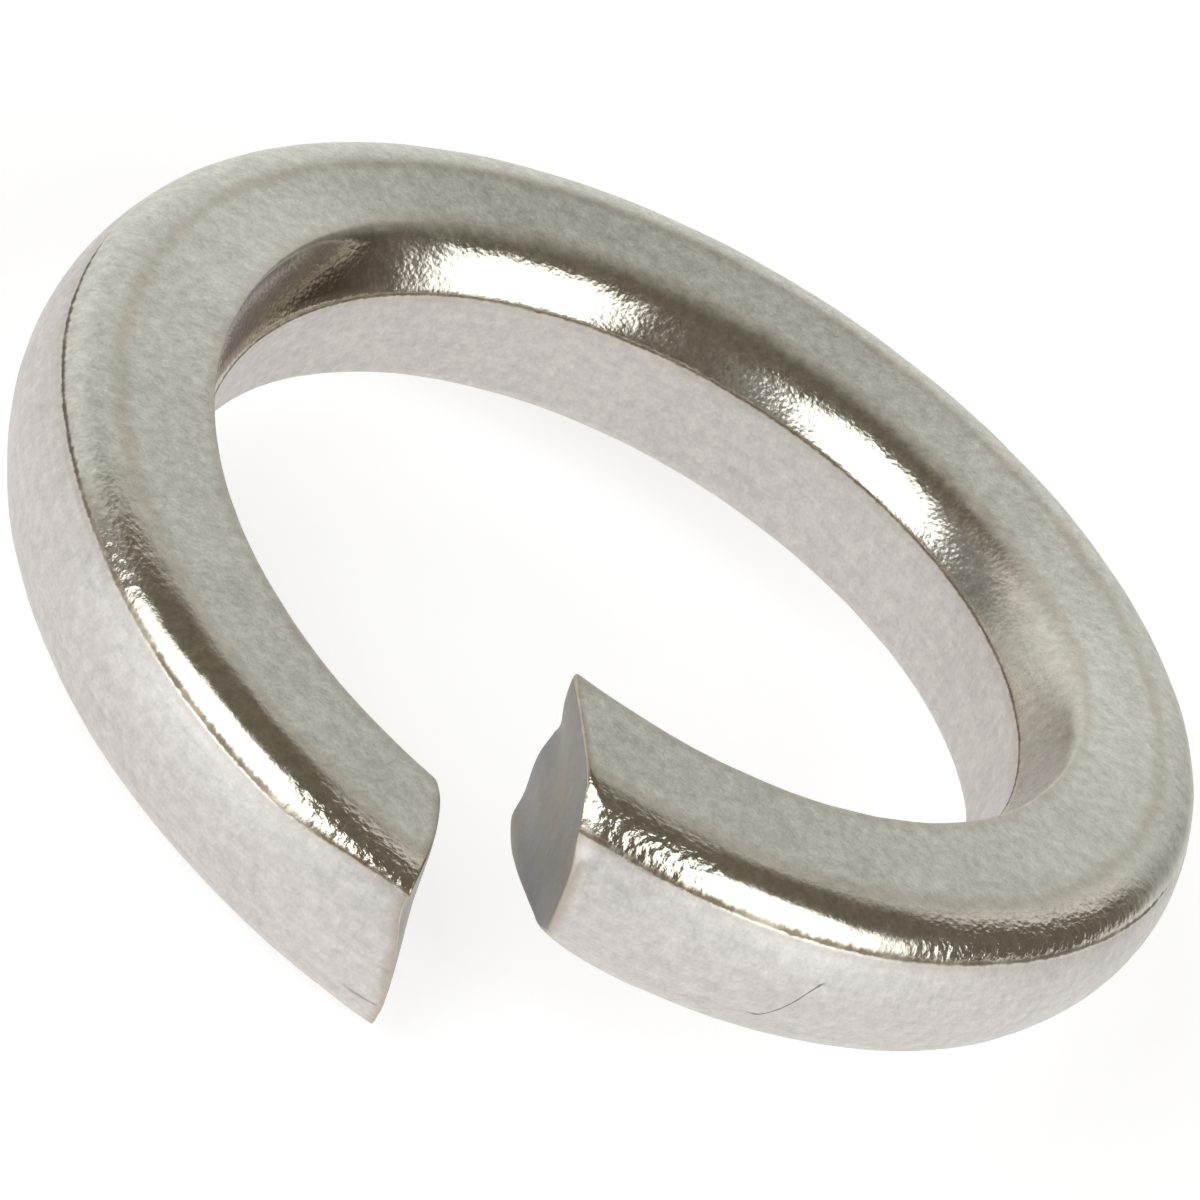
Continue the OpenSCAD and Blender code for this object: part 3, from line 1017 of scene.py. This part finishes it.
def floor_paint(studio):
    """Pale paint that shows white to the camera and in the steel, and keeps the washer's shadow."""
    material, n, shader = new_material("floor_paint", 0.0)
    fleck = n.noise(n.place(), FLECKS, detail=3.0, roughness=0.5)
    darker = [c * FLECK_TONE for c in studio.floor_colour]
    tone = n.mix(n.span(fleck, *FLECK_RANGE), rgba(darker), rgba(studio.floor_colour))
    rays = n.add("ShaderNodeLightPath").outputs
    seen = n.plus(rays["Is Camera Ray"], rays["Is Glossy Ray"], clamp=True)
    seen = n.plus(seen, rays["Is Transmission Ray"], clamp=True)
    n.put(shader, Base_Color=tone, Roughness=studio.floor_rough, Specular_IOR_Level=studio.floor_shine,
          Emission_Color=rgba((1, 1, 1)), Emission_Strength=n.times(seen, studio.floor_glow))
    return material


def studio_air(studio):
    """A plain room, bright behind the washer and dim elsewhere, paler towards the floor."""
    world = bpy.data.worlds.new("room")
    bpy.context.scene.world = world
    world.use_nodes = True
    n = Nodes(world.node_tree)
    backdrop = next(node for node in n.tree.nodes if node.type == "BACKGROUND")
    split = n.put(n.add("ShaderNodeSeparateXYZ"), Vector=n.add("ShaderNodeTexCoord").outputs["Generated"])
    x, y, z = split.outputs
    from_back = n.math("ARCTAN2", x, y)
    right = n.span(from_back, *map(math.radians, AIR_RIGHT))
    left = n.span(from_back, *map(math.radians, AIR_LEFT))
    air = n.mix(left, rgba(studio.air_behind), rgba(studio.air_left))
    air = n.mix(right, air, rgba(studio.air_right))
    air = n.mix(n.span(z, *AIR_HIGH), air, rgba(studio.air_high))
    air = n.mix(n.span(z, *AIR_LOW), air, rgba(studio.air_low))
    n.put(backdrop, Color=air, Strength=1.0)


class VIEW3D_PT_washer(bpy.types.Panel):
    """Lists the sizes and finishes and runs the operators."""

    bl_label = "Spring Lock Washer"
    bl_idname = "VIEW3D_PT_washer"
    bl_space_type = "VIEW_3D"
    bl_region_type = "UI"
    bl_category = "Washer"

    def draw(self, context):
        layout = self.layout
        for group in (context.scene.washer_sizes, context.scene.washer_finish, context.scene.washer_studio):
            box = layout.box()
            for name in group.bl_rna.properties.keys():
                if name not in ("rna_type", "name"):
                    box.prop(group, name)
        layout.operator(OBJECT_OT_spring_washer.bl_idname)
        layout.operator(SCENE_OT_washer_studio.bl_idname)


CLASSES = (WasherSizes, WasherFinish, StudioSettings, OBJECT_OT_spring_washer, SCENE_OT_washer_studio,
           VIEW3D_PT_washer)


def register():
    for kind in CLASSES:
        bpy.utils.register_class(kind)
    bpy.types.Scene.washer_sizes = PointerProperty(type=WasherSizes)
    bpy.types.Scene.washer_finish = PointerProperty(type=WasherFinish)
    bpy.types.Scene.washer_studio = PointerProperty(type=StudioSettings)


def unregister():
    del bpy.types.Scene.washer_studio
    del bpy.types.Scene.washer_finish
    del bpy.types.Scene.washer_sizes
    for kind in reversed(CLASSES):
        bpy.utils.unregister_class(kind)


def main():
    register()
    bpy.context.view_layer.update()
    bpy.ops.object.spring_washer()
    bpy.ops.scene.washer_studio()


if __name__ == "__main__":
    main()
